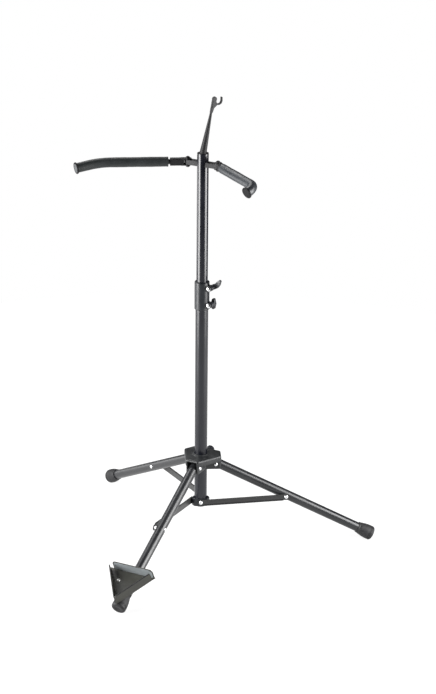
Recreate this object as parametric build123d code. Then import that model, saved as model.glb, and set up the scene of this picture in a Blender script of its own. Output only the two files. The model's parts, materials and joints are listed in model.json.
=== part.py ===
from build123d import *
import math
import os

# Folding floor stand for a cello, in millimetres, +Z up, standing on the plane Z = 0.
# The column is built on the Z axis and the whole stand is then moved along Y, so that
# the origin is the middle of its footprint. The front leg points along -Y.

# --- driving dimensions ---
LEG_ANGLES = {"front": 270, "right": 30, "left": 150}   # degrees about Z, seen from above
LEG_SLOPE = 27.5            # of an open leg below the horizontal, degrees
LEG_R = 9.5                 # outer radius of a leg tube
LEG_WALL = 1.2
HUB_PIVOT_R = 29.0          # from the column axis to a leg's pivot
LEG_START = -8.0            # inner end of the leg tube, along the leg from its pivot
FOOT_MOUTH = 323.6          # from the pivot to the mouth of the foot cap, along the leg
FOOT_END = 357.5            # from the pivot to the end of the foot cap
FOOT_R = 14.3               # widest radius of the foot cap
FOOT_MOUTH_R = 11.0
FOOT_ROUND = 4.0            # rounding of the foot cap's end
FOOT_FLOOR = 7.0            # thickness of the foot cap past the end of the leg tube
SOLE_DEPTH = 1.0            # how much of the rounded foot is cut off to make a flat sole

LOWER_R = 12.5              # lower column tube
LOWER_WALL = 1.0
LOWER_BOTTOM = 85.0
LOWER_TOP = 545.0
UPPER_R = 11.0              # upper column tube, which slides in the lower one
UPPER_WALL = 1.0
UPPER_BOTTOM = 374.0
UPPER_TOP = 814.0
RUN_GAP = 0.05              # radial clearance of every running fit

COLLAR_PIVOT_Z = 92.8       # height of the brace pivots on the column's bottom collar
COLLAR_FACE = 13.3          # from the column axis to each flat face of the collar
COLLAR_CORNER_R = 18.0
COLLAR_TOP = 101.0
BRACE_JOINT = 159.0         # from the hub pivot to the brace rivet, along the leg
BRACE_SIDE = 13.5           # from the leg's centre plane to the inner face of the brace
BRACE_T = 1.6
BRACE_H = 12.0
BRACE_FLANGE = 2.2
RIVET_R = 2.5
RIVET_HEAD_R = 3.8
RIVET_HEAD_H = 2.0

HUB_TOP = 194.0
HUB_CROWN_H = 3.0           # raised ring round the column on top of the hub
HUB_PLATE_BOTTOM = 181.0
HUB_BOTTOM = 165.0
HUB_REACH = 40.0            # from the column axis to the outer end of each clevis
HUB_HALF = 13.5             # half width of a clevis
CLEVIS_GAP_HALF = 10.0      # half width of the slot that takes the leg
HUB_BOSS_R = 16.2
HUB_RIVET_R = 3.0
KNOB_Z = 186.0
KNOB_R = 8.5

SLEEVE_BOTTOM = 500.6
SLEEVE_TOP = 557.1
SLEEVE_R = 14.5
EAR_ANGLE = -9.0            # direction of the clamp ears about Z
EAR_BOLT = 18.0             # from the column axis to the clamp bolts
EAR_R = 5.6
EAR_FRONT = 5.0
EAR_BACK = 7.0
EAR_HEIGHTS = (511.0, 545.3)
BOLT_R = 2.5
NUT_FOOT_R = 5.2            # round foot of the clamp's lever nut and thumb nut

ARM_BOLT_X = 32.0           # from the column axis to each arm's pivot bolt
ARM_Z = 792.8
ARM_BAR_R = 6.5             # half depth of the bracket bar and radius of its ends
ARM_BAR_H = 9.0
ARM_BOLT_R = 2.5
FORK_H = 13.0
FORK_R = 7.5
FORK_W = 13.0
ARM_TUBE_R = 5.0
ARM_TUBE_WALL = 1.2
ARM_SLEEVE_R = 9.5
ARM_CAP_R = 11.2
CAP_PLUG = 2.8              # depth of the end cap in its tube
# heading about Z, straight run from the bolt, bend radius, bend angle (positive turns
# anticlockwise), how far the bend is rolled downwards, straight tip, end of the fork and
# start of the rubber cover
ARMS = {
    "left": dict(side=-1, heading=210.5, run=144.0, radius=132.0, bend=20.0, droop=21.5,
                 tip=22.0, fork_end=33.6, cover_start=37.0),
    "right": dict(side=1, heading=324.5, run=126.5, radius=20.5, bend=-78.0, droop=20.0,
                  tip=3.0, fork_end=17.0, cover_start=18.0),
}

HOOK_AZIMUTH = 60.0         # direction in which the bow hook leans
HOOK_BASE_R = 6.9
HOOK_NECK_R = 2.1
HOOK_NECK = (18.0, 78.0)    # out from the axis and up from the tube's top
HOOK_T = 5.0

TRAY_BASE = 280.5           # from the pivot to the tray's wide edge, along the leg
TRAY_APEX = 358.0
TRAY_HALF = 48.5            # half the length of the wide edge
TRAY_T = 1.5
TRAY_TOP = 16.3             # from the leg's axis up to the tray's floor
TRAY_WALL_H = 20.0
TRAY_WIDE_H = 22.5          # height of the upright flange on the wide edge
TRAY_WIDE_HALF = 43.0
TRAY_WIDE_SHIFT = 3.7       # how far that flange sits off the middle of its edge
SADDLE_START = 298.0
SADDLE_END = 322.0
EAR_LENGTH = 15.0
TRAY_BOLT_Y = 20.4
TRAY_BOLT_S = 305.7
TRAY_BOLT_R = 2.0

# --- derived positions ---
SLOPE = math.radians(LEG_SLOPE)
HUB_PIVOT_Z = ((FOOT_END - FOOT_ROUND) * math.sin(SLOPE)
               + (FOOT_R - FOOT_ROUND) * math.cos(SLOPE) + FOOT_ROUND - SOLE_DEPTH)
BRACE_OUT = (HUB_PIVOT_R + BRACE_JOINT * math.cos(SLOPE),
             HUB_PIVOT_Z - BRACE_JOINT * math.sin(SLOPE))
BRACE_LENGTH = math.hypot(BRACE_OUT[0], BRACE_OUT[1] - COLLAR_PIVOT_Z)
BRACE_RISE = math.degrees(math.atan2(BRACE_OUT[1] - COLLAR_PIVOT_Z, BRACE_OUT[0]))


def up_from(z, shape):
    return Pos(0, 0, z) * shape


def rod(radius, length):
    """A cylinder from the origin up along +Z."""
    return Cylinder(radius, length, align=(Align.CENTER, Align.CENTER, Align.MIN))


def block(x0, x1, y0, y1, z0, z1):
    """A box between two corners."""
    size = Box(x1 - x0, y1 - y0, z1 - z0, align=(Align.MIN, Align.MIN, Align.MIN))
    return Pos(x0, y0, z0) * size


def ring(outer, inner, length):
    return rod(outer, length) - rod(inner, length)


def along_y(y0, y1, x, z, radius):
    """A cylinder parallel to Y between two values of Y."""
    return Pos(x, y0, z) * Rot(-90, 0, 0) * rod(radius, y1 - y0)


def dome(radius, height):
    """A domed head: a slice of a ball standing on its flat face at the origin."""
    ball = (radius ** 2 + height ** 2) / (2 * height)
    return (Pos(0, 0, height - ball) * Sphere(ball)) & rod(radius, height)


def dome_minus_y(radius, height, x, y, z):
    return Pos(x, y, z) * Rot(90, 0, 0) * dome(radius, height)


def dome_plus_y(radius, height, x, y, z):
    return Pos(x, y, z) * Rot(-90, 0, 0) * dome(radius, height)


def turned(angle, shape):
    """Turns a shape that was built pointing along +X to another direction about Z."""
    return Rot(0, 0, angle) * shape


def on_leg(shape):
    """Places a shape built on the leg's own axis (+X down the leg, from its pivot)."""
    return Pos(HUB_PIVOT_R, 0, HUB_PIVOT_Z) * Rot(0, LEG_SLOPE, 0) * shape


def all_legs(shape):
    """Three copies of a shape, one for each leg direction, as one group."""
    return [turned(angle, shape) for angle in LEG_ANGLES.values()]


def joined(shapes):
    total = shapes[0]
    for shape in shapes[1:]:
        total = total + shape
    return total


# --- column ---
def lower_tube():
    tube = up_from(LOWER_BOTTOM, ring(LOWER_R, LOWER_R - LOWER_WALL, LOWER_TOP - LOWER_BOTTOM))
    hole = along_y(-LOWER_R - 1, -LOWER_R + 3, 0, COLLAR_PIVOT_Z, RIVET_R)
    for cut in all_legs(hole):
        tube = tube - cut
    return tube


def brace_collar():
    height = COLLAR_TOP - LOWER_BOTTOM
    body = up_from(LOWER_BOTTOM, rod(COLLAR_CORNER_R, height))
    outside = block(-40, 40, -40, -COLLAR_FACE, LOWER_BOTTOM - 1, COLLAR_TOP + 1)
    hole = along_y(-COLLAR_CORNER_R, -LOWER_R + 2, 0, COLLAR_PIVOT_Z, RIVET_R)
    for cut in all_legs(outside) + all_legs(hole):
        body = body - cut
    return body - up_from(LOWER_BOTTOM - 1, rod(LOWER_R, height + 2))


def collar_rivets():
    outer = -(BRACE_SIDE + BRACE_T + 0.2)
    shank = along_y(outer, -LOWER_R + 1.4, 0, COLLAR_PIVOT_Z, RIVET_R)
    rivet = shank + dome_minus_y(RIVET_HEAD_R, RIVET_HEAD_H, 0, outer, COLLAR_PIVOT_Z)
    return Compound(children=all_legs(rivet))


def clamp_sleeve():
    height = SLEEVE_TOP - SLEEVE_BOTTOM
    body = up_from(SLEEVE_BOTTOM, rod(SLEEVE_R, height))
    body = chamfer(body.edges().filter_by(GeomType.CIRCLE).group_by(Axis.Z)[-1], 1.4)
    for z in EAR_HEIGHTS:
        web = block(0, EAR_BOLT, -EAR_FRONT, EAR_BACK, z - EAR_R, z + EAR_R)
        body = body + web + along_y(-EAR_FRONT, EAR_BACK, EAR_BOLT, z, EAR_R)
    slit = block(0, EAR_BOLT + EAR_R + 1, -0.7, 0.7, SLEEVE_BOTTOM - 1, SLEEVE_TOP + 1)
    body = body - slit
    for z in EAR_HEIGHTS:
        body = body - along_y(-EAR_FRONT - 1, EAR_BACK + 1, EAR_BOLT, z, BOLT_R)
    body = body - up_from(SLEEVE_BOTTOM - 1, rod(LOWER_R, LOWER_TOP - SLEEVE_BOTTOM + 1))
    body = body - up_from(LOWER_TOP - 1, rod(UPPER_R + RUN_GAP, SLEEVE_TOP - LOWER_TOP + 2))
    return turned(EAR_ANGLE, body)


def clamp_bolts():
    bolts = []
    for z in EAR_HEIGHTS:
        shank = along_y(-EAR_FRONT, EAR_BACK + 8.5, EAR_BOLT, z, BOLT_R)
        head = dome_minus_y(5.0, 2.6, EAR_BOLT, -EAR_FRONT, z)
        bolts.append(turned(EAR_ANGLE, shank + head))
    return Compound(children=bolts)


def link(a, ra, b, rb):
    """The outline of a bar that tapers between two round ends."""
    dx, dy = b[0] - a[0], b[1] - a[1]
    length = math.hypot(dx, dy)
    nx, ny = -dy / length, dx / length
    side = Polygon((a[0] - nx * ra, a[1] - ny * ra), (b[0] - nx * rb, b[1] - ny * rb),
                   (b[0] + nx * rb, b[1] + ny * rb), (a[0] + nx * ra, a[1] + ny * ra),
                   align=None)
    return side + Pos(*a) * Circle(ra) + Pos(*b) * Circle(rb)


def on_clamp_bolt(z, shape):
    """Places a nut built along +Z with its foot at the origin, X outward and Y down."""
    return turned(EAR_ANGLE, Pos(EAR_BOLT, EAR_BACK + 0.3, z) * Rot(-90, 0, 0) * shape)


def clamp_lever():
    outline = (link((0, 0), NUT_FOOT_R, (8.0, -4.0), 4.9) + link((8.0, -4.0), 4.9, (12.0, -9.0), 4.6)
               + link((12.0, -9.0), 4.6, (15.5, -14.5), 2.9))
    blade = up_from(2.2, extrude(outline, 4.8))
    body = rod(NUT_FOOT_R, 7.0) + blade
    body = body - up_from(-1, rod(BOLT_R + RUN_GAP, 10))
    return on_clamp_bolt(EAR_HEIGHTS[1], body)


def thumb_nut():
    outline = link((0, 0), NUT_FOOT_R, (0.3, -7.4), 3.3) + link((0, 0), NUT_FOOT_R, (0.0, 7.5), 3.7)
    blade = up_from(3.6, extrude(outline, 5.4))
    body = rod(NUT_FOOT_R, 9.0) + blade
    body = body - up_from(-1, rod(BOLT_R + RUN_GAP, 12))
    return on_clamp_bolt(EAR_HEIGHTS[0], body)


# --- hub ---
def leg_hub():
    corners = []
    for angle in sorted(LEG_ANGLES.values()):
        for side in (-1, 1):
            tip = Vector(HUB_REACH, side * HUB_HALF).rotate(Axis.Z, angle)
            corners.append((tip.X, tip.Y))
    plan = fillet(Polygon(*corners, align=None).vertices(), 4.0)
    plate = up_from(HUB_PLATE_BOTTOM, extrude(plan, HUB_TOP - HUB_PLATE_BOTTOM))
    plate = fillet(plate.edges().group_by(Axis.Z)[-1], 3.5)
    crown = up_from(HUB_TOP, rod(HUB_BOSS_R, HUB_CROWN_H))
    crown = chamfer(crown.edges().group_by(Axis.Z)[-1], 2.4)
    body = plate + crown + up_from(HUB_BOTTOM, rod(HUB_BOSS_R, HUB_PLATE_BOTTOM - HUB_BOTTOM))
    cheek = block(0, HUB_REACH, -HUB_HALF, HUB_HALF, HUB_BOTTOM, HUB_PLATE_BOTTOM)
    cheek = fillet(cheek.edges().filter_by(Axis.Z).group_by(Axis.X)[-1], 3.9)
    slot = block(HUB_BOSS_R, HUB_REACH + 5, -CLEVIS_GAP_HALF, CLEVIS_GAP_HALF,
                 HUB_BOTTOM - 1, HUB_TOP - 4.5)
    hole = along_y(-HUB_HALF - 1, HUB_HALF + 1, HUB_PIVOT_R, HUB_PIVOT_Z, HUB_RIVET_R)
    for part in all_legs(cheek):
        body = body + part
    for cut in all_legs(slot) + all_legs(hole):
        body = body - cut
    bore = rod(LOWER_R + RUN_GAP, HUB_TOP + HUB_CROWN_H - HUB_BOTTOM + 2)
    body = body - up_from(HUB_BOTTOM - 1, bore)
    return body - along_y(0, 60, 0, KNOB_Z, HUB_RIVET_R + RUN_GAP)


def hub_pivot_rivets():
    rivet = along_y(-HUB_HALF, HUB_HALF, HUB_PIVOT_R, HUB_PIVOT_Z, HUB_RIVET_R)
    rivet = rivet + dome_minus_y(RIVET_HEAD_R, RIVET_HEAD_H, HUB_PIVOT_R, -HUB_HALF, HUB_PIVOT_Z)
    rivet = rivet + dome_plus_y(RIVET_HEAD_R, RIVET_HEAD_H, HUB_PIVOT_R, HUB_HALF, HUB_PIVOT_Z)
    return Compound(children=all_legs(rivet))


HUB_BACK = HUB_REACH * 0.5 + HUB_HALF * math.cos(math.radians(30))


def hub_lock_knob():
    body = rod(KNOB_R, 13.0)
    body = fillet(body.edges().group_by(Axis.Z)[-1], 2.5)
    for index in range(8):
        groove = Rot(0, 0, index * 45) * Pos(KNOB_R + 0.9, 0, 2) * rod(1.8, 12)
        body = body - groove
    body = body - up_from(-1, rod(HUB_RIVET_R, 11.0))
    return Pos(0, HUB_BACK + 1.0, KNOB_Z) * Rot(-90, 0, 0) * body


def hub_lock_stud():
    return along_y(LOWER_R + 0.35, HUB_BACK + 11.0, 0, KNOB_Z, HUB_RIVET_R)


# --- legs ---
def leg_tube():
    length = FOOT_END - FOOT_FLOOR - LEG_START
    tube = Pos(LEG_START, 0, 0) * Rot(0, 90, 0) * ring(LEG_R, LEG_R - LEG_WALL, length)
    tube = tube - along_y(-LEG_R - 1, LEG_R + 1, 0, 0, HUB_RIVET_R + RUN_GAP)
    return on_leg(tube - along_y(-LEG_R - 1, LEG_R + 1, BRACE_JOINT, 0, RIVET_R))


def foot_cap():
    length = FOOT_END - FOOT_MOUTH
    outline = Polygon((0, 0), (FOOT_MOUTH_R, 0), (FOOT_MOUTH_R + 0.4, 3.0),
                      (FOOT_R, length * 0.72), (FOOT_R, length), (0, length), align=None)
    solid = revolve(Plane.XZ * outline, Axis.Z)
    solid = fillet(solid.edges().group_by(Axis.Z)[-1], FOOT_ROUND)
    solid = solid - up_from(-1, rod(LEG_R, length - FOOT_FLOOR + 1))
    placed = on_leg(Pos(FOOT_MOUTH, 0, 0) * Rot(0, 90, 0) * solid)
    return placed - block(0, 500, -50, 50, -50, 0)


def leg_rivet():
    shank = along_y(-LEG_R + 0.2, LEG_R, BRACE_JOINT, 0, RIVET_R)
    return on_leg(shank + dome_plus_y(RIVET_HEAD_R, RIVET_HEAD_H, BRACE_JOINT, LEG_R, 0))


# --- braces ---
def on_brace(shape):
    """Places a shape built along +X from the brace's pivot on the collar."""
    return Pos(0, 0, COLLAR_PIVOT_Z) * Rot(0, -BRACE_RISE, 0) * shape


def brace():
    half = BRACE_H / 2
    web = Rot(90, 0, 0) * extrude(link((0, 0), half, (BRACE_LENGTH, 0), half), BRACE_T)
    web = Pos(0, -BRACE_SIDE, 0) * web
    outer = -(BRACE_SIDE + BRACE_T + BRACE_FLANGE)
    top = block(half, BRACE_LENGTH - half, outer, -BRACE_SIDE - BRACE_T, half - 1.1, half)
    body = web + top + mirror(top, Plane.XY)
    body = body - along_y(outer - 1, 0, 0, 0, RIVET_R + RUN_GAP)
    return on_brace(body - along_y(outer - 1, 0, BRACE_LENGTH, 0, RIVET_R))


def brace_rivet():
    outer = -(BRACE_SIDE + BRACE_T)
    stub_end = -LEG_R - 0.4
    body = along_y(outer, stub_end, BRACE_LENGTH, 0, RIVET_R)
    body = body + along_y(-BRACE_SIDE, stub_end, BRACE_LENGTH, 0, RIVET_HEAD_R)
    return on_brace(body + dome_minus_y(RIVET_HEAD_R, RIVET_HEAD_H, BRACE_LENGTH, outer, 0))


# --- upper tube, arms and bow hook ---
def upper_tube():
    tube = up_from(UPPER_BOTTOM, ring(UPPER_R, UPPER_R - UPPER_WALL, UPPER_TOP - UPPER_BOTTOM))
    half = ARM_BAR_H / 2
    return tube - block(-20, 20, -ARM_BAR_R, ARM_BAR_R, ARM_Z - half, ARM_Z + half)


def tube_guide():
    """The plastic plug that guides the upper tube's bottom end in the lower tube."""
    flange = up_from(UPPER_BOTTOM - 12, rod(LOWER_R - LOWER_WALL - RUN_GAP, 12))
    plug = up_from(UPPER_BOTTOM, rod(UPPER_R - UPPER_WALL, 15))
    return flange + plug - up_from(UPPER_BOTTOM - 13, rod(6.0, 40))


def arm_bracket():
    outline = link((-ARM_BOLT_X, 0), ARM_BAR_R, (ARM_BOLT_X, 0), ARM_BAR_R)
    bar = up_from(ARM_Z - ARM_BAR_H / 2, extrude(outline, ARM_BAR_H))
    for x in (-ARM_BOLT_X, ARM_BOLT_X):
        bar = bar - Pos(x, 0, ARM_Z - ARM_BAR_H) * rod(ARM_BOLT_R, 2 * ARM_BAR_H)
    return bar


def arm_pivot_bolts():
    bolts = []
    for x in (-ARM_BOLT_X, ARM_BOLT_X):
        shank = Pos(x, 0, ARM_Z - FORK_H / 2 - 4.0) * rod(ARM_BOLT_R, FORK_H + 4.2)
        head = Pos(x, 0, ARM_Z + FORK_H / 2 + 0.2) * dome(4.6, 4.2)
        nut = Pos(x, 0, ARM_Z - FORK_H / 2 - 3.0) * extrude(RegularPolygon(4.4, 6), 2.8)
        bolts.append(shank + head + nut)
    return Compound(children=bolts)


def on_arm(arm, shape):
    """Places a shape built from the arm's pivot bolt along +X at the arm's own height."""
    return Pos(arm["side"] * ARM_BOLT_X, 0, ARM_Z) * Rot(0, 0, arm["heading"]) * shape


def drooping(arm, shape):
    """Rolls a bent shape about the arm's straight run, so that its tip drops."""
    return on_arm(arm, Rot(arm["side"] * arm["droop"], 0, 0) * shape)


def arm_fork(arm):
    cheek = Circle(FORK_R) + Polygon((0, -FORK_W / 2), (13, -FORK_W / 2), (13, FORK_W / 2),
                                     (0, FORK_W / 2), align=None)
    body = up_from(-FORK_H / 2, extrude(cheek, FORK_H))
    tail = block(9, arm["fork_end"], -FORK_W / 2, FORK_W / 2, -FORK_H / 2, FORK_H / 2)
    tail = chamfer(tail.edges().filter_by(Axis.X), 1.0)
    body = body + tail
    mouth = ARM_BAR_H / 2 + 0.25
    body = body - block(-20, ARM_BAR_R + 0.6, -20, 20, -mouth, mouth)
    body = body - up_from(-20, rod(ARM_BOLT_R + RUN_GAP, 40))
    return on_arm(arm, body - Pos(9, 0, 0) * Rot(0, 90, 0) * rod(ARM_TUBE_R, 40))


def arm_path(arm, start):
    """The arm's centre line from a point on the straight run to its tip."""
    turn = math.copysign(1, arm["bend"])
    bend = math.radians(abs(arm["bend"]))
    centre = (arm["run"], turn * arm["radius"])
    end = (centre[0] + arm["radius"] * math.sin(bend),
           centre[1] - turn * arm["radius"] * math.cos(bend))
    middle = (centre[0] + arm["radius"] * math.sin(bend / 2),
              centre[1] - turn * arm["radius"] * math.cos(bend / 2))
    tip = (end[0] + arm["tip"] * math.cos(bend), end[1] + turn * arm["tip"] * math.sin(bend))
    path = Line((start, 0), (arm["run"], 0)) + ThreePointArc((arm["run"], 0), middle, end)
    return path + Line(end, tip), tip


def along_arm(arm, start, outer, inner):
    path, _ = arm_path(arm, start)
    section = Plane(origin=(start, 0, 0), z_dir=(1, 0, 0)) * (Circle(outer) - Circle(inner))
    return drooping(arm, sweep(section, path=path))


def arm_tube(arm):
    return along_arm(arm, 9.0, ARM_TUBE_R, ARM_TUBE_R - ARM_TUBE_WALL)


def arm_cover(arm):
    return along_arm(arm, arm["cover_start"], ARM_SLEEVE_R, ARM_TUBE_R + 0.05)


def arm_end_cap(arm):
    _, tip = arm_path(arm, 0)
    flange = rod(ARM_CAP_R, 3.0)
    flange = fillet(flange.edges().group_by(Axis.Z)[-1], 1.2)
    cap = flange + up_from(-CAP_PLUG, rod(ARM_TUBE_R - ARM_TUBE_WALL, CAP_PLUG + 0.5))
    return drooping(arm, Pos(*tip, 0) * Rot(0, 0, arm["bend"]) * Rot(0, 90, 0) * cap)


def bow_hook():
    plug = up_from(-16, rod(UPPER_R - UPPER_WALL - RUN_GAP, 15))
    base = Plane.XY * Circle(HOOK_BASE_R)
    foot = up_from(-2, rod(HOOK_BASE_R, 2))
    neck_plane = Plane(origin=(HOOK_NECK[0], 0, HOOK_NECK[1]), z_dir=(0.2, 0, 1))
    stem = loft([base, neck_plane * Circle(HOOK_NECK_R)])
    blade = Polygon((15.6, 76), (20.0, 76), (23.6, 84.5), (30.0, 89.0), (29.4, 101.6),
                    (20.9, 101.6), align=None) + Pos(25.1, 101.8) * Circle(4.3)
    cup = Pos(33.9, 97.0) * (Circle(8.2) - Circle(5.5))
    cup = cup - Pos(33.9, 107.0) * Rectangle(30, 20)
    prong = link((40.75, 97.0), 1.35, (40.9, 102.6), 1.2)
    plate = blade + cup + prong - Pos(33.9, 97.0) * Circle(5.5)
    plate = Rot(90, 0, 0) * extrude(plate, HOOK_T / 2, both=True)
    return up_from(UPPER_TOP, Rot(0, 0, HOOK_AZIMUTH) * (plug + foot + stem + plate))


# --- endpin tray on the front leg ---
def on_tray_leg(shape):
    return turned(LEG_ANGLES["front"], on_leg(shape))


def endpin_tray():
    floor_z = TRAY_TOP - TRAY_T
    plan = Polygon((TRAY_BASE, -TRAY_HALF), (TRAY_APEX, 0), (TRAY_BASE, TRAY_HALF), align=None)
    body = up_from(floor_z, extrude(plan, TRAY_T))
    wall_top = TRAY_TOP + TRAY_WALL_H
    wide = Rectangle(2 * TRAY_WIDE_HALF, TRAY_WIDE_H + TRAY_T, align=(Align.CENTER, Align.MIN))
    wide = fillet(wide.vertices().group_by(Axis.Y)[-1], 7.0)
    back = Plane(origin=(TRAY_BASE, TRAY_WIDE_SHIFT, floor_z), x_dir=(0, 1, 0), z_dir=(1, 0, 0)) * wide
    body = body + extrude(back, TRAY_T)
    edge = math.hypot(TRAY_APEX - TRAY_BASE, TRAY_HALF)
    lean = math.degrees(math.atan2(TRAY_HALF, TRAY_APEX - TRAY_BASE))
    side = block(8.0, edge - 2, -TRAY_T, 0, floor_z, wall_top)
    side = fillet(side.edges().filter_by(Axis.Y).group_by(Axis.Z)[-1], 4.0)
    body = body + Pos(TRAY_BASE, TRAY_HALF, 0) * Rot(0, 0, -lean) * side
    mirrored = mirror(side, Plane.XZ)
    body = body + Pos(TRAY_BASE, -TRAY_HALF, 0) * Rot(0, 0, lean) * mirrored
    for y in (-TRAY_BOLT_Y, TRAY_BOLT_Y):
        body = body - Pos(TRAY_BOLT_S, y, 0) * rod(TRAY_BOLT_R, 40)
    return on_tray_leg(body)


def tray_saddle():
    """A bent strap that holds the tray's cradle to the leg from below."""
    length = SADDLE_END - SADDLE_START
    outer = LEG_R + 0.1 + 1.8
    floor_z = TRAY_TOP - TRAY_T
    shell = Rot(0, 90, 0) * rod(outer, length)
    shell = shell - block(-1, length + 1, -20, 20, 0, 20)
    body = shell + block(0, length, -outer, outer, 0, floor_z)
    ears = block(0, EAR_LENGTH, -26, 26, floor_z - 2.0, floor_z)
    body = body + ears
    body = body - Pos(-1, 0, 0) * Rot(0, 90, 0) * rod(LEG_R + 0.1, length + 2)
    body = body - block(-1, length + 1, -LEG_R - 0.1, LEG_R + 0.1, 0, floor_z + 1)
    body = Pos(SADDLE_START, 0, 0) * body
    for y in (-TRAY_BOLT_Y, TRAY_BOLT_Y):
        body = body - Pos(TRAY_BOLT_S, y, 0) * rod(TRAY_BOLT_R, 40)
    return on_tray_leg(body)


def tray_cradle():
    """The moulded cradle between the leg and the tray's floor."""
    half = LEG_R - 0.2
    pad = block(SADDLE_START, SADDLE_END, -half, half, 3.0, TRAY_TOP - TRAY_T)
    return on_tray_leg(pad - Pos(SADDLE_START - 1, 0, 0) * Rot(0, 90, 0) * rod(LEG_R + RUN_GAP, 40))


def tray_bolts():
    under = TRAY_TOP - TRAY_T - 2.0
    bolts = []
    for y in (-TRAY_BOLT_Y, TRAY_BOLT_Y):
        shank = up_from(under - 5.0, rod(TRAY_BOLT_R, TRAY_TOP - under + 5.0))
        nut = up_from(under - 3.4, extrude(RegularPolygon(3.9, 6), 3.4))
        bolt = shank + nut + up_from(TRAY_TOP, dome(4.4, 2.2))
        bolts.append(on_tray_leg(Pos(TRAY_BOLT_S, y, 0) * bolt))
    return Compound(children=bolts)


def all_nodes():
    nodes = {
        "lower_tube": lower_tube(),
        "brace_collar": brace_collar(),
        "collar_rivets": collar_rivets(),
        "clamp_sleeve": clamp_sleeve(),
        "clamp_bolts": clamp_bolts(),
        "clamp_lever": clamp_lever(),
        "thumb_nut": thumb_nut(),
        "leg_hub": leg_hub(),
        "hub_pivot_rivets": hub_pivot_rivets(),
        "hub_lock_knob": hub_lock_knob(),
        "hub_lock_stud": hub_lock_stud(),
        "upper_tube": upper_tube(),
        "tube_guide": tube_guide(),
        "arm_bracket": arm_bracket(),
        "arm_pivot_bolts": arm_pivot_bolts(),
        "bow_hook": bow_hook(),
        "endpin_tray": endpin_tray(),
        "tray_saddle": tray_saddle(),
        "tray_cradle": tray_cradle(),
        "tray_bolts": tray_bolts(),
    }
    leg_parts = {"leg_tube": leg_tube(), "foot_cap": foot_cap(), "leg_rivet": leg_rivet(),
                 "brace": brace(), "brace_rivet": brace_rivet()}
    for where, angle in LEG_ANGLES.items():
        for name, shape in leg_parts.items():
            nodes[f"{name}_{where}"] = turned(angle, shape)
    for where, arm in ARMS.items():
        nodes[f"arm_fork_{where}"] = arm_fork(arm)
        nodes[f"arm_tube_{where}"] = arm_tube(arm)
        nodes[f"arm_cover_{where}"] = arm_cover(arm)
        nodes[f"arm_end_cap_{where}"] = arm_end_cap(arm)
    return nodes


def footprint_shift(nodes):
    """How far the stand moves along Y to bring the middle of its footprint to the origin."""
    boxes = [shape.bounding_box() for shape in nodes.values()]
    return -(min(box.min.Y for box in boxes) + max(box.max.Y for box in boxes)) / 2


NODES = all_nodes()
SHIFT = footprint_shift(NODES)

os.makedirs("parts", exist_ok=True)
for name, shape in NODES.items():
    export_step(Pos(0, SHIFT, 0) * shape, f"parts/{name}.step")
print("moved along Y by", round(SHIFT, 3), "pivot height", round(HUB_PIVOT_Z, 3))
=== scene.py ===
import json
import math

import bmesh
import bpy
from mathutils import Matrix, Vector


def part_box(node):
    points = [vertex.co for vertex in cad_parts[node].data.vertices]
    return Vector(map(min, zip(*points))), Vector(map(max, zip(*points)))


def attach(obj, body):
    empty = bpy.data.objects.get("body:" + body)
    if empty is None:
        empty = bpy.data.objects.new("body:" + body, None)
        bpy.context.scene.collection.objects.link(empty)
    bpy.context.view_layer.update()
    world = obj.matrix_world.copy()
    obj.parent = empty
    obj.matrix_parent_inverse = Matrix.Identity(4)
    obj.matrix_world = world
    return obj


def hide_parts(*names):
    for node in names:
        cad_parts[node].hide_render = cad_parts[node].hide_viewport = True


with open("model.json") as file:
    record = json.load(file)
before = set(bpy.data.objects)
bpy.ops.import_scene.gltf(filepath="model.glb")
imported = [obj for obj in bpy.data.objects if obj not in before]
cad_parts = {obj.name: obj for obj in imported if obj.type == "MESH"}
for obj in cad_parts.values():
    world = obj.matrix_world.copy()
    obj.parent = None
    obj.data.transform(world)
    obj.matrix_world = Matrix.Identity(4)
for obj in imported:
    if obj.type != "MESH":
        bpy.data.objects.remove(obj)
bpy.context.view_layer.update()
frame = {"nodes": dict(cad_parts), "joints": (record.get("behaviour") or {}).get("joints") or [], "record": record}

MM = 0.001
JOINTS = {joint["name"]: joint for joint in frame["joints"]}
SLOTS = {row["node"]: row["material_slot"] for row in frame["record"]["subparts"]}
UP = Vector((0, 0, 1))


def middle(node):
    """The middle of a CAD node's box."""
    low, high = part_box(node)
    return (low + high) / 2


def axes(x, y, z, origin):
    """The matrix that places a piece built on its own axes."""
    turn = Matrix((x, y, z)).transposed().to_4x4()
    return Matrix.Translation(origin) @ turn


COLUMN = middle("lower_tube") * Vector((1, 1, 0))

# --- materials ---


def node_of(tree, kind, **inputs):
    """A shader node with its sockets set: plain values are stored, sockets are linked."""
    node = tree.nodes.new(kind)
    for name, value in inputs.items():
        socket = node.inputs[name.replace("_", " ")]
        if isinstance(value, bpy.types.NodeSocket):
            tree.links.new(value, socket)
        else:
            socket.default_value = value
    return node


def shade(color):
    return (color[0], color[1], color[2], 1.0)


NOISE_SPAN = (0.3, 0.7)     # the part of the noise's range that is used
WEAR_SPAN = (0.54, 0.68)    # pointiness where the wear starts and where it is full
GRAIN_STRENGTH = 0.5


def between(tree, factor, low, high):
    """A number that runs from low to high as factor runs across NOISE_SPAN."""
    ranged = node_of(tree, "ShaderNodeMapRange", Value=factor)
    ranged.inputs["From Min"].default_value = NOISE_SPAN[0]
    ranged.inputs["From Max"].default_value = NOISE_SPAN[1]
    ranged.inputs["To Min"].default_value = low
    ranged.inputs["To Max"].default_value = high
    return ranged.outputs["Result"]


def noise(tree, place, scale, detail=3.0, rough=0.55):
    found = node_of(tree, "ShaderNodeTexNoise", Vector=place, Scale=scale, Detail=detail,
                    Roughness=rough)
    return found.outputs["Fac"]


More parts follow.
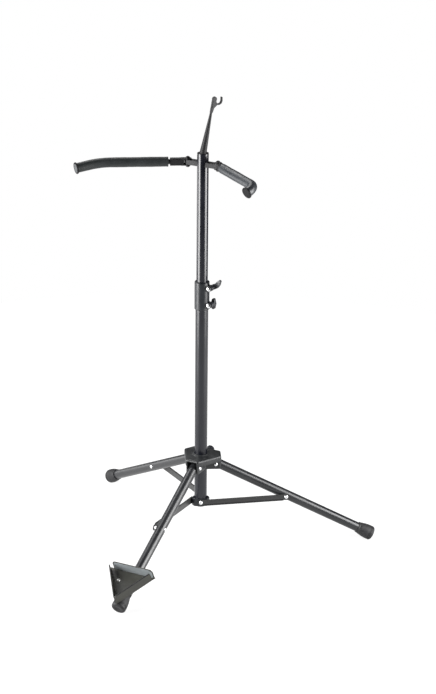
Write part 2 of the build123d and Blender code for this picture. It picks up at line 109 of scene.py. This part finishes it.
def blended(tree, factor, low, high):
    """A colour between two, by a factor socket."""
    mix = tree.nodes.new("ShaderNodeMix")
    mix.data_type = "RGBA"
    tree.links.new(factor, mix.inputs["Factor"])
    mix.inputs["A"].default_value = shade(low)
    mix.inputs["B"].default_value = shade(high)
    return next(socket for socket in mix.outputs if socket.type == "RGBA")


def surface(name, low, high, roughness, cloud=18.0, grain=1400.0, depth=0.04, stretch=(1, 1, 1),
            wear=None, **sockets):
    """A procedural finish: a cloudy colour, uneven gloss and a fine grain.

    low and high are the ends of the colour, roughness the ends of the gloss, cloud and grain
    the two noise scales per metre, depth the grain's depth in millimetres. wear lightens the
    sharp edges, and the other values go to the shader's own sockets.
    """
    material = bpy.data.materials.new(name)
    material.use_nodes = True
    tree = material.node_tree
    shader = tree.nodes["Principled BSDF"]
    place = tree.nodes.new("ShaderNodeTexCoord").outputs["Object"]
    mapping = node_of(tree, "ShaderNodeMapping", Vector=place, Scale=stretch)
    place = mapping.outputs["Vector"]
    clouds = noise(tree, place, cloud)
    fine = noise(tree, place, grain, detail=2.0)
    tint = between(tree, clouds, 0.0, 1.0)
    color = blended(tree, tint, low, high)
    if wear is not None:
        pointed = tree.nodes.new("ShaderNodeNewGeometry").outputs["Pointiness"]
        edge = node_of(tree, "ShaderNodeMapRange", Value=pointed)
        edge.inputs["From Min"].default_value = WEAR_SPAN[0]
        edge.inputs["From Max"].default_value = WEAR_SPAN[1]
        mix = tree.nodes.new("ShaderNodeMix")
        mix.data_type = "RGBA"
        tree.links.new(edge.outputs["Result"], mix.inputs["Factor"])
        tree.links.new(color, mix.inputs["A"])
        mix.inputs["B"].default_value = shade(wear)
        color = next(socket for socket in mix.outputs if socket.type == "RGBA")
    tree.links.new(color, shader.inputs["Base Color"])
    tree.links.new(between(tree, clouds, *roughness), shader.inputs["Roughness"])
    bump = node_of(tree, "ShaderNodeBump", Height=fine, Strength=GRAIN_STRENGTH,
                   Distance=depth * MM)
    tree.links.new(bump.outputs["Normal"], shader.inputs["Normal"])
    for socket, value in sockets.items():
        shader.inputs[socket.replace("_", " ")].default_value = value
    return material


def make_finishes():
    """Every finish by its key: a material slot of the record, or a name of the scene's own."""
    return {
        "black_tube": surface(
            "powder_coat_black", (0.003, 0.0035, 0.006), (0.006, 0.0065, 0.010), (0.20, 0.26),
            cloud=25, grain=420, depth=0.001),
        "leg_tube": surface(
            "powder_coat_legs", (0.008, 0.0085, 0.010), (0.014, 0.0145, 0.016), (0.28, 0.36),
            cloud=25, grain=420, depth=0.0025),
        "black_steel": surface(
            "satin_black_steel", (0.008, 0.008, 0.009), (0.014, 0.014, 0.015), (0.34, 0.46),
            cloud=40, grain=600, depth=0.005, wear=(0.035, 0.035, 0.035)),
        "hook_plastic": surface(
            "matt_nylon", (0.006, 0.006, 0.007), (0.010, 0.010, 0.011), (0.48, 0.60),
            cloud=60, grain=800, depth=0.010, Specular_IOR_Level=0.22),
        "matt_steel": surface(
            "matt_black_steel", (0.005, 0.005, 0.006), (0.009, 0.009, 0.010), (0.46, 0.58),
            cloud=40, grain=600, depth=0.005, Specular_IOR_Level=0.25),
        "black_plastic": surface(
            "moulded_nylon", (0.006, 0.007, 0.009), (0.012, 0.013, 0.016), (0.30, 0.42),
            cloud=60, grain=800, depth=0.010, wear=(0.022, 0.024, 0.026),
            Specular_IOR_Level=0.38),
        "rubber_cover": surface(
            "arm_rubber", (0.007, 0.009, 0.009), (0.011, 0.013, 0.014), (0.44, 0.56),
            cloud=35, grain=600, depth=0.004, Specular_IOR_Level=0.36),
        # The same rubber as arm_rubber, made lighter for the right arm's cover: painted light, for the glancing
        # light of the right softbox on it.
        "painted_lit_rubber": surface(
            "arm_rubber_painted_lit", (0.015, 0.017, 0.020), (0.022, 0.025, 0.029), (0.36, 0.48),
            cloud=35, grain=600, depth=0.004, Specular_IOR_Level=0.45),
        "cap_plastic": surface(
            "end_cap_black", (0.004, 0.004, 0.0045), (0.008, 0.008, 0.009), (0.50, 0.60),
            cloud=90, grain=900, depth=0.010, Specular_IOR_Level=0.12),
        # A lighter copy of the cap plastic for the left cap's face: painted light, for the bright room that this
        # face turns to.
        "painted_lit_cap_face": surface(
            "end_cap_painted_lit_face", (0.030, 0.033, 0.034), (0.044, 0.047, 0.049), (0.46, 0.56),
            cloud=90, grain=900, depth=0.010, Specular_IOR_Level=0.22),
        "foot_rubber": surface(
            "foot_rubber", (0.005, 0.005, 0.006), (0.020, 0.020, 0.021), (0.50, 0.72),
            cloud=320, grain=420, depth=0.12, Specular_IOR_Level=0.35),
        "fastener_steel": surface(
            "zinc_steel", (0.74, 0.75, 0.76), (0.86, 0.86, 0.87), (0.18, 0.32),
            cloud=160, grain=2400, depth=0.02, Metallic=1.0),
        "bright_zinc": surface(
            "bright_zinc", (0.62, 0.62, 0.60), (0.74, 0.74, 0.72), (0.34, 0.46),
            cloud=160, grain=2400, depth=0.02, Metallic=0.6),
        "hub_plastic": surface(
            "moulded_hub", (0.008, 0.009, 0.010), (0.014, 0.015, 0.016), (0.38, 0.50),
            cloud=60, grain=800, depth=0.010, Specular_IOR_Level=0.42),
        "tray_paint": surface(
            "tray_powder_coat", (0.014, 0.014, 0.010), (0.023, 0.023, 0.017), (0.38, 0.50),
            cloud=45, grain=700, depth=0.008),
        # A light grey for the inside of the tray's upright wide edge, which has the tray's own paint: painted
        # light, for the brighter light on that face.
        "painted_light_sheet": surface(
            "grey_painted_light", (0.19, 0.21, 0.22), (0.24, 0.26, 0.27), (0.5, 0.65),
            cloud=70, grain=1600, depth=0.08),
    }


FINISH = make_finishes()


def paint(thing, finish):
    thing.data.materials.clear()
    thing.data.materials.append(FINISH[finish])


def paint_frame():
    """Gives every CAD node the finish of its material slot, apart from a few by name."""
    for name, thing in frame["nodes"].items():
        paint(thing, SLOTS[name])
    for name in ("arm_bracket", "arm_fork_left", "arm_fork_right", "arm_pivot_bolts"):
        paint(frame["nodes"][name], "matt_steel")
    paint(frame["nodes"]["tray_bolts"], "bright_zinc")


# --- mesh building ---

SHARP_ANGLE = 38            # degrees between faces from which an edge is shaded as sharp


def add_piece(name, mesh, body, slot, finish=None, smooth=True):
    """Makes an object of a finished mesh, which rides on a body and has its finish."""
    piece = bpy.data.objects.new(name, mesh)
    bpy.context.scene.collection.objects.link(piece)
    if smooth:
        for polygon in mesh.polygons:
            polygon.use_smooth = True
        mesh.set_sharp_from_angle(angle=math.radians(SHARP_ANGLE))
    paint(piece, finish or slot)
    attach(piece, body)
    return piece


def to_mesh(name, shape, place):
    """Closes a bmesh, puts it in place and hands back its mesh."""
    bmesh.ops.recalc_face_normals(shape, faces=shape.faces)
    shape.transform(place)
    mesh = bpy.data.meshes.new(name)
    shape.to_mesh(mesh)
    shape.free()
    return mesh


def skin(rings, closed=True):
    """Joins rings of points into a surface. A ring of one point is a pole, and a closed
    skin joins its last ring to its first."""
    shape = bmesh.new()
    rows = [[shape.verts.new(point) for point in ring] for ring in rings]
    count = max(len(row) for row in rows)
    pairs = list(zip(rows, rows[1:]))
    if closed:
        pairs.append((rows[-1], rows[0]))
    for here, there in pairs:
        for index in range(count):
            after = (index + 1) % count
            corners = [here[index % len(here)], here[after % len(here)],
                       there[after % len(there)], there[index % len(there)]]
            shape.faces.new(list(dict.fromkeys(corners)))
    return shape


def lathed(profile, steps=64):
    """Turns (radius, height) points in millimetres about +Z. Ends on the axis close it."""
    rings = []
    for radius, height in profile:
        angles = [math.tau * index / steps for index in range(steps if radius > 0 else 1)]
        rings.append([Vector((radius * math.cos(angle), radius * math.sin(angle), height)) * MM
                      for angle in angles])
    return skin(rings, closed=profile[0][0] > 0)


def rounded(corner, start, end, steps=4):
    """Points along the quarter round about a centre, from one angle to another."""
    radius, height, size = corner
    points = []
    for index in range(steps + 1):
        angle = math.radians(start + (end - start) * index / steps)
        points.append((radius + size * math.cos(angle), height + size * math.sin(angle)))
    return points


def softened(node, body, voxel, passes, finish):
    """Stands for a moulded CAD node with a copy whose sharp edges are rounded over."""
    source = frame["nodes"][node]
    copy = bpy.data.objects.new(node + "_moulded", source.data.copy())
    bpy.context.scene.collection.objects.link(copy)
    remesh = copy.modifiers.new("remesh", "REMESH")
    remesh.mode = "VOXEL"
    remesh.voxel_size = voxel * MM
    smooth = copy.modifiers.new("smooth", "SMOOTH")
    smooth.factor = 0.5
    smooth.iterations = passes
    graph = bpy.context.evaluated_depsgraph_get()
    mesh = bpy.data.meshes.new_from_object(copy.evaluated_get(graph))
    bpy.data.objects.remove(copy)
    piece = add_piece(node + "_moulded", mesh, body, SLOTS[node], finish)
    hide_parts(node)


# --- legs and feet ---

LEGS = ("front", "right", "left")
TRAY_AXIS = Vector(JOINTS["tray_slide"]["axis"])
LEG_SLOPE = math.asin(-TRAY_AXIS.z)
# The rest is in millimetres, and the two distances run down the leg from its pivot.
FOOT_MOUTH = 323.6
FOOT_END = 357.5
FOOT_RADIUS = 14.3
FOOT_WAIST = 11.35          # the foot's radius where its flare starts
FOOT_SOLE = 7.0             # rubber below the tube's end
FOOT_CORNER = 4.0
FLARE_START = 3.6
FLARE_STEPS = 6
GROOVE = 0.45               # depth of the grip grooves
BORE_GAP = 0.02
TUBE_RADIUS = 9.5


def leg_axes(leg, along=0.0):
    """Placement on a leg: Z runs down the leg from its pivot, Y points to its side."""
    joint = JOINTS[f"leg_{leg}_hinge"]
    side = Vector(joint["axis"])
    outward = side.cross(UP)
    down = outward * math.cos(LEG_SLOPE) - UP * math.sin(LEG_SLOPE)
    return axes(side.cross(down), side, down, Vector(joint["pos_m"]) + down * along * MM)


def foot_profile():
    """The rubber foot's section, from its bore round the rim, the flare and the sole."""
    length = FOOT_END - FOOT_MOUTH
    bore = TUBE_RADIUS + BORE_GAP
    points = [(0, length - FOOT_SOLE), (bore, length - FOOT_SOLE), (bore, 0.6), (bore + 0.5, 0.0)]
    points += rounded((10.5, 0.7, 0.7), -90, 0)
    points += [(11.15, 2.2), (10.95, 2.7), (10.95, 3.1), (FOOT_WAIST, FLARE_START)]
    for step in range(1, FLARE_STEPS + 1):
        share = step / FLARE_STEPS
        flare = FOOT_WAIST + (FOOT_RADIUS - FOOT_WAIST) * math.sin(share * math.pi / 2)
        points.append((flare, FLARE_START + (length - 14.0) * share))
    for height in (length - 9.4, length - 7.6, length - 5.8):
        points += [(FOOT_RADIUS, height - 0.5), (FOOT_RADIUS - GROOVE, height - 0.3),
                   (FOOT_RADIUS - GROOVE, height + 0.1), (FOOT_RADIUS, height + 0.3)]
    points += rounded((FOOT_RADIUS - FOOT_CORNER, length - FOOT_CORNER, FOOT_CORNER), 0, 90, 6)
    points += [(6.0, length), (5.2, length - 0.6), (0, length - 0.6)]
    return points


def make_foot(leg):
    """A rubber foot on the leg's end, cut flat where it stands on the floor."""
    shape = lathed(foot_profile())
    shape.transform(leg_axes(leg, FOOT_MOUTH))
    everything = shape.verts[:] + shape.edges[:] + shape.faces[:]
    cut = bmesh.ops.bisect_plane(shape, geom=everything, plane_co=(0, 0, 0), plane_no=(0, 0, -1),
                                 clear_outer=True)
    rim = [item for item in cut["geom_cut"] if isinstance(item, bmesh.types.BMEdge)]
    bmesh.ops.holes_fill(shape, edges=rim)
    mesh = to_mesh(f"rubber_foot_{leg}", shape, Matrix.Identity(4))
    piece = add_piece(f"rubber_foot_{leg}", mesh, f"leg_{leg}", "foot_rubber")
    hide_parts(f"foot_cap_{leg}")


# --- support arms ---

# These repeat the arms of the CAD model: the heading of the straight run, its length from
# the pivot bolt, the bend and how far its plane is rolled down, the straight tip, where the
# rubber cover starts, and the two finishes.
ARMS = {
    # The left arm's cap face takes the lighter copy of the cap plastic: painted light.
    "left": dict(heading=210.5, run=144.0, radius=132.0, bend=20.0, roll=-21.5, tip=22.0,
                 cover_start=37.0, cover="rubber_cover", face="painted_lit_cap_face"),
    # The right arm's cover takes the lighter copy of the rubber: painted light.
    "right": dict(heading=324.5, run=126.5, radius=20.5, bend=-78.0, roll=20.0, tip=3.0,
                  cover_start=18.0, cover="painted_lit_rubber", face="cap_plastic"),
}
COVER_RADIUS = 9.5
ROD_RADIUS = 5.05
CAP_RADIUS = 11.2
RING_POINTS = 56            # points round the cover
RING_SPACING = 1.5
BODY_INSET = 0.12           # how far the cover's body stays under its radius, before its swell
CREASE = 0.16               # depth of the creases on the inside of the bend


def arm_axes(side):
    """Placement of an arm: X runs out along its straight part from the pivot bolt."""
    arm = ARMS[side]
    pivot = Vector(JOINTS[f"arm_{side}_swivel"]["pos_m"])
    pivot.z = middle(f"arm_fork_{side}").z
    turn = Matrix.Rotation(math.radians(arm["heading"]), 4, "Z")
    roll = Matrix.Rotation(math.radians(arm["roll"]), 4, "X")
    return Matrix.Translation(pivot) @ turn @ roll


def arm_point(arm, distance):
    """The centre line's point and heading in the arm's plane, that far from its bolt.

    The line runs straight, then round the bend, then straight again along the tip.
    """
    turn = math.copysign(1, arm["bend"])
    full = math.radians(abs(arm["bend"]))
    if distance <= arm["run"]:
        return Vector((distance, 0, 0)), 0.0
    angle = min((distance - arm["run"]) / arm["radius"], full)
    rest = distance - arm["run"] - arm["radius"] * angle
    point = Vector((arm["run"] + arm["radius"] * math.sin(angle),
                    turn * arm["radius"] * (1 - math.cos(angle)), 0))
    heading = turn * angle
    return point + Vector((math.cos(heading), math.sin(heading), 0)) * rest, heading


def arm_length(arm):
    return arm["run"] + arm["radius"] * math.radians(abs(arm["bend"])) + arm["tip"]


def arm_ring(arm, distance, radius, steps):
    """A ring of points in metres round the arm's centre line."""
    centre, heading = arm_point(arm, distance)
    side = Vector((-math.sin(heading), math.cos(heading), 0))
    ring = []
    for index in range(steps):
        angle = math.tau * index / steps
        offset = side * radius * math.cos(angle)
        ring.append((centre + offset + UP * radius * math.sin(angle)) * MM)
    return ring


def make_cover(side):
    """The rubber cover: a thick tube with a rounded lip, creased on the inside of the bend."""
    arm = ARMS[side]
    start, end = arm["cover_start"], arm_length(arm)
    rings = []
    for radius, inset in rounded((ROD_RADIUS + 0.6, 0.6, 0.6), 180, 270, 3):
        rings.append(arm_ring(arm, start + inset, radius, RING_POINTS))
    for radius, inset in rounded((COVER_RADIUS - 0.9, 0.9, 0.9), 270, 360, 4):
        rings.append(arm_ring(arm, start + inset, radius, RING_POINTS))
    count = int((end - start - 4) / RING_SPACING)
    turn = math.copysign(1, arm["bend"])
    for index in range(1, count + 1):
        distance = start + 1.8 + (end - start - 3.6) * index / count
        swell = 0.10 * math.sin(distance * 0.11) + 0.05 * math.sin(distance * 0.37 + 1.0)
        ring = arm_ring(arm, distance, COVER_RADIUS - BODY_INSET + swell, RING_POINTS)
        if distance > arm["run"]:
            crease = CREASE * math.sin(distance * 1.9)
            centre, heading = arm_point(arm, distance)
            inside = Vector((-math.sin(heading), math.cos(heading), 0)) * turn
            for number, point in enumerate(ring):
                facing = max(0.0, (point / MM - centre).normalized().dot(inside))
                ring[number] = point - inside * crease * facing ** 2 * MM
        rings.append(ring)
    for radius, inset in rounded((COVER_RADIUS - 0.7, -0.7, 0.7), 0, 90, 3):
        rings.append(arm_ring(arm, end + inset, radius, RING_POINTS))
    for index in range(count + 1):
        distance = end + (start + RING_SPACING - end) * index / count
        rings.append(arm_ring(arm, distance, ROD_RADIUS, RING_POINTS))
    mesh = to_mesh(f"rubber_cover_{side}", skin(rings), arm_axes(side))
    piece = add_piece(f"rubber_cover_{side}", mesh, f"arm_{side}", "rubber_cover", arm["cover"])
    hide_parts(f"arm_cover_{side}")


def make_end_cap(side):
    """The plug in the arm's end: a round flange with a shallow dished face."""
    arm = ARMS[side]
    tip, heading = arm_point(arm, arm_length(arm))
    place = arm_axes(side) @ Matrix.Translation(tip * MM) @ Matrix.Rotation(heading, 4, "Z")
    place = place @ Matrix.Rotation(math.radians(90), 4, "Y")
    rim = [(0, -2.6), (3.7, -2.6), (3.7, 0.0), (CAP_RADIUS - 0.6, 0.02)]
    rim += rounded((CAP_RADIUS - 0.5, 0.6, 0.5), -90, 0, 3)
    rim += rounded((CAP_RADIUS - 1.2, 1.9, 1.2), 0, 90, 5)
    rim += [(9.0, 3.0), (8.6, 2.7), (8.5, 2.3), (0, 2.3)]
    mesh = to_mesh(f"end_plug_{side}", lathed(rim), place)
    piece = add_piece(f"end_plug_{side}", mesh, f"arm_{side}", "cap_plastic")
    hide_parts(f"arm_end_cap_{side}")
    disc = [(0, 2.25), (8.4, 2.25)] + rounded((8.1, 2.5, 0.3), 0, 90, 3)
    disc += [(5.5, 2.92), (2.6, 3.0), (0, 3.0)]
    face = to_mesh(f"end_plug_face_{side}", lathed(disc), place)
    add_piece(f"end_plug_face_{side}", face, f"arm_{side}", "cap_plastic", arm["face"])


# --- column and tray details ---


def make_column_plug():
    """The plastic plug that closes the column's bottom end."""
    low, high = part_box("lower_tube")
    radius = (high.x - low.x) / MM / 2
    profile = [(0, 9.0), (radius - 1.05, 9.0), (radius - 1.05, -0.02), (radius - 0.15, -0.02)]
    profile += rounded((radius - 1.3, -0.9, 1.2), 0, -90, 4)
    profile += [(6.0, -2.1), (5.4, -1.6), (0, -1.6)]
    place = Matrix.Translation((COLUMN.x, COLUMN.y, low.z))
    mesh = to_mesh("column_end_plug", lathed(profile), place)
    add_piece("column_end_plug", mesh, "column", "black_plastic")


TRAY_BASE = 280.5           # along the leg to the tray's wide edge
TRAY_APEX = 358.0
TRAY_HALF = 48.5            # half the length of the wide edge
TRAY_FLOOR = 16.3           # above the leg's axis
TRAY_SHEET = 1.5
TRAY_WALL = 20.0            # height of the two side walls
EDGING_START = 8.0          # from the wide edge to the edging, along the side wall
EDGING_STOP = 2             # from the edging to the far end of the side wall
EDGING_CORNER = 4.0         # radius in which the edging turns down at each end
EDGING_INSET = 0.9          # its middle line below the wall's top
EDGING_HALF = 0.95          # half its thickness
EDGING_POINTS = 16
EDGING_TURN = 18            # degrees from one ring of it to the next in a corner
# The light grey sheet of painted light on the inside of the wide edge:
LIGHT_SHEET_SHIFT = 3.7             # the wide edge's flange sits this far off its middle
LIGHT_SHEET_HALF = 41.2
LIGHT_SHEET_FOOT = 0.4              # from the tray's floor to the light grey sheet
LIGHT_SHEET_HEIGHT = 21.0
LIGHT_SHEET_CORNER = 6.0
LIGHT_SHEET_THICK = 0.5


def on_wall(side, along, across, height):
    """A point of the tray's side wall, on the leg's axes.

    along runs from the wide edge, across outward through the wall, height from the leg's axis.
    """
    lean = math.atan2(TRAY_HALF, TRAY_APEX - TRAY_BASE)
    down = TRAY_BASE + along * math.cos(lean) + across * math.sin(lean)
    out = TRAY_HALF - along * math.sin(lean) + across * math.cos(lean)
    return Vector((-height, side * out, down)) * MM


def boxy(value):
    """Draws out a sine or cosine, so that the circle it makes becomes a rounded square."""
    return math.copysign(abs(value) ** 0.5, value)


def make_tray_edging(name, side):
    """A dark strip that wraps the free edge of one of the tray's side walls."""
    end = math.hypot(TRAY_APEX - TRAY_BASE, TRAY_HALF) - EDGING_STOP
    top = TRAY_FLOOR + TRAY_WALL
    corner_steps = range(90 // EDGING_TURN + 1)
    turns = [(EDGING_START + EDGING_CORNER, 180 - EDGING_TURN * step) for step in corner_steps]
    turns += [(end - EDGING_CORNER, 90 - EDGING_TURN * step) for step in corner_steps]
    rings = []
    for centre, degrees in turns:
        angle = math.radians(degrees)
        ring = []
        for index in range(EDGING_POINTS):
            turn = math.tau * index / EDGING_POINTS
            across = EDGING_HALF * boxy(math.cos(turn))
            reach = EDGING_CORNER - EDGING_INSET + EDGING_HALF * boxy(math.sin(turn))
            ring.append(on_wall(side, centre + reach * math.cos(angle), -TRAY_SHEET / 2 + across,
                                top - EDGING_CORNER + reach * math.sin(angle)))
        rings.append(ring)
    ends = [[sum(ring, Vector()) / len(ring)] for ring in (rings[0], rings[-1])]
    shape = skin([ends[0]] + rings + [ends[1]], closed=False)
    add_piece(name, to_mesh(name, shape, leg_axes("front")), "tray", "tray_paint", "matt_steel")


def make_tray_painted_light():
    """A light grey sheet on the inside of the tray's upright wide edge: painted light, where the tray's own paint
    is lit brighter.
    """
    outline = [(-LIGHT_SHEET_HALF, LIGHT_SHEET_FOOT), (LIGHT_SHEET_HALF, LIGHT_SHEET_FOOT)]
    outline += rounded((LIGHT_SHEET_HALF - LIGHT_SHEET_CORNER, LIGHT_SHEET_HEIGHT - LIGHT_SHEET_CORNER, LIGHT_SHEET_CORNER), 0, 90, 6)
    outline += rounded((LIGHT_SHEET_CORNER - LIGHT_SHEET_HALF, LIGHT_SHEET_HEIGHT - LIGHT_SHEET_CORNER, LIGHT_SHEET_CORNER), 90, 180, 6)
    face = TRAY_BASE + TRAY_SHEET
    shape = bmesh.new()
    lower = [shape.verts.new((-(TRAY_FLOOR + y) * MM, (LIGHT_SHEET_SHIFT + x) * MM, face * MM))
             for x, y in outline]
    upper = [shape.verts.new(vert.co + Vector((0, 0, LIGHT_SHEET_THICK * MM))) for vert in lower]
    shape.faces.new(lower)
    shape.faces.new(list(reversed(upper)))
    for index in range(len(lower)):
        after = (index + 1) % len(lower)
        shape.faces.new((lower[index], upper[index], upper[after], lower[after]))
    mesh = to_mesh("tray_edge_painted_light", shape, leg_axes("front"))
    add_piece("tray_edge_painted_light", mesh, "tray", "tray_paint", "painted_light_sheet", smooth=False)


# Moulded and cast nodes whose sharp edges are rounded over: the node, its body, the voxel in
# millimetres, the smoothing passes, and a finish where it isn't the slot's own.
MOULDED = (
    ("clamp_lever", "height_lever", 0.45, 4, None),
    ("thumb_nut", "height_thumb_nut", 0.45, 4, None),
    ("bow_hook", "hook", 0.6, 4, "hook_plastic"),
    ("hub_lock_knob", "hub_knob", 0.5, 3, None),
    ("leg_hub", "hub", 0.9, 10, "hub_plastic"),
    ("clamp_sleeve", "column", 0.6, 3, None),
    ("brace_collar", "column", 0.6, 2, None),
)


def build():
    paint_frame()
    for leg in LEGS:
        make_foot(leg)
    for side in ARMS:
        make_cover(side)
        make_end_cap(side)
    make_column_plug()
    make_tray_painted_light()
    make_tray_edging("tray_edging_right", 1)
    make_tray_edging("tray_edging_left", -1)
    for row in MOULDED:
        softened(*row)


# --- studio ---

FLOOR_RADIUS = 1.5
FLOOR_DROP = 0.0002         # the floor lies this far below the feet


def make_floor():
    """A round white table top, bright enough to melt into the white background."""
    shape = bmesh.new()
    bmesh.ops.create_circle(shape, cap_ends=True, segments=96, radius=FLOOR_RADIUS)
    mesh = to_mesh("studio_floor", shape, Matrix.Translation((0, 0, -FLOOR_DROP)))
    floor = bpy.data.objects.new("studio_floor", mesh)
    bpy.context.scene.collection.objects.link(floor)
    paper = surface("white_paper", (0.17, 0.17, 0.17), (0.18, 0.18, 0.18), (0.85, 0.95),
                    cloud=3, grain=300, depth=0.02, Specular_IOR_Level=0.1,
                    Emission_Color=(1, 1, 1, 1), Emission_Strength=0.84)
    floor.data.materials.append(paper)


def toward(azimuth):
    """The level direction at this many degrees clockwise from the camera, seen from above."""
    look = Vector((CAMERA_PLACE[0], CAMERA_PLACE[1], 0)).normalized()
    return Matrix.Rotation(math.radians(-azimuth), 3, "Z") @ look


def softbox(name, azimuth, distance, height, width, tall, power, aim):
    """A rectangular studio light that stands at an angle from the camera's direction."""
    lamp = bpy.data.lights.new(name, "AREA")
    lamp.shape = "RECTANGLE"
    lamp.size = width
    lamp.size_y = tall
    lamp.energy = power
    light = bpy.data.objects.new(name, lamp)
    bpy.context.scene.collection.objects.link(light)
    light.location = COLUMN + toward(azimuth) * distance + UP * height
    facing = (COLUMN + UP * aim - light.location).normalized()
    light.rotation_euler = facing.to_track_quat("-Z", "Y").to_euler()
    light.visible_camera = False


ROOM_LIGHT = 0.06           # what the object sees of the room, beside the softboxes

# The name, azimuth in degrees, distance, height, width, tall side, watts and aimed height.
SOFTBOXES = (
    ("softbox_left", 70, 1.35, 0.80, 0.80, 1.6, 70, 0.80),
    ("softbox_right", -71, 1.5, 0.80, 1.05, 1.6, 70, 0.80),
    ("softbox_low_left", 122, 2.2, 0.30, 1.5, 1.0, 14, 0.6),
    ("softbox_top", 150, 1.6, 2.3, 1.6, 1.2, 34, 0.5),
)


def make_lights():
    for row in SOFTBOXES:
        softbox(*row)
    world = bpy.data.worlds.new("white_room")
    bpy.context.scene.world = world
    world.use_nodes = True
    tree = world.node_tree
    seen = tree.nodes.new("ShaderNodeLightPath").outputs["Is Camera Ray"]
    bright = node_of(tree, "ShaderNodeMapRange", Value=seen)
    bright.inputs["To Min"].default_value = ROOM_LIGHT
    bright.inputs["To Max"].default_value = 1.0
    tree.nodes["Background"].inputs["Color"].default_value = (1, 1, 1, 1)
    tree.links.new(bright.outputs["Result"], tree.nodes["Background"].inputs["Strength"])


# The camera's place and aim in metres, from where the column's axis meets the floor.
CAMERA_PLACE = (1.9671, -3.9358, 2.1719)
CAMERA_AIM = (0.0285, 0.0142, 0.4208)
CAMERA_ROLL = 0.55          # degrees
CAMERA_LENS = 126.38        # focal length in millimetres


def make_camera():
    lens = bpy.data.cameras.new("photo_camera")
    lens.lens = CAMERA_LENS
    camera = bpy.data.objects.new("photo_camera", lens)
    bpy.context.scene.collection.objects.link(camera)
    place = COLUMN + Vector(CAMERA_PLACE)
    forward = (COLUMN + Vector(CAMERA_AIM) - place).normalized()
    right = forward.cross(UP).normalized()
    upward = right.cross(forward)
    roll = math.radians(CAMERA_ROLL)
    tilted = right * math.cos(roll) + upward * math.sin(roll)
    camera.matrix_world = axes(tilted, tilted.cross(forward), -forward, place)
    bpy.context.scene.camera = camera


make_camera()
build()
make_floor()
make_lights()
bpy.context.scene.view_settings.view_transform = "Standard"

bpy.context.view_layer.update()
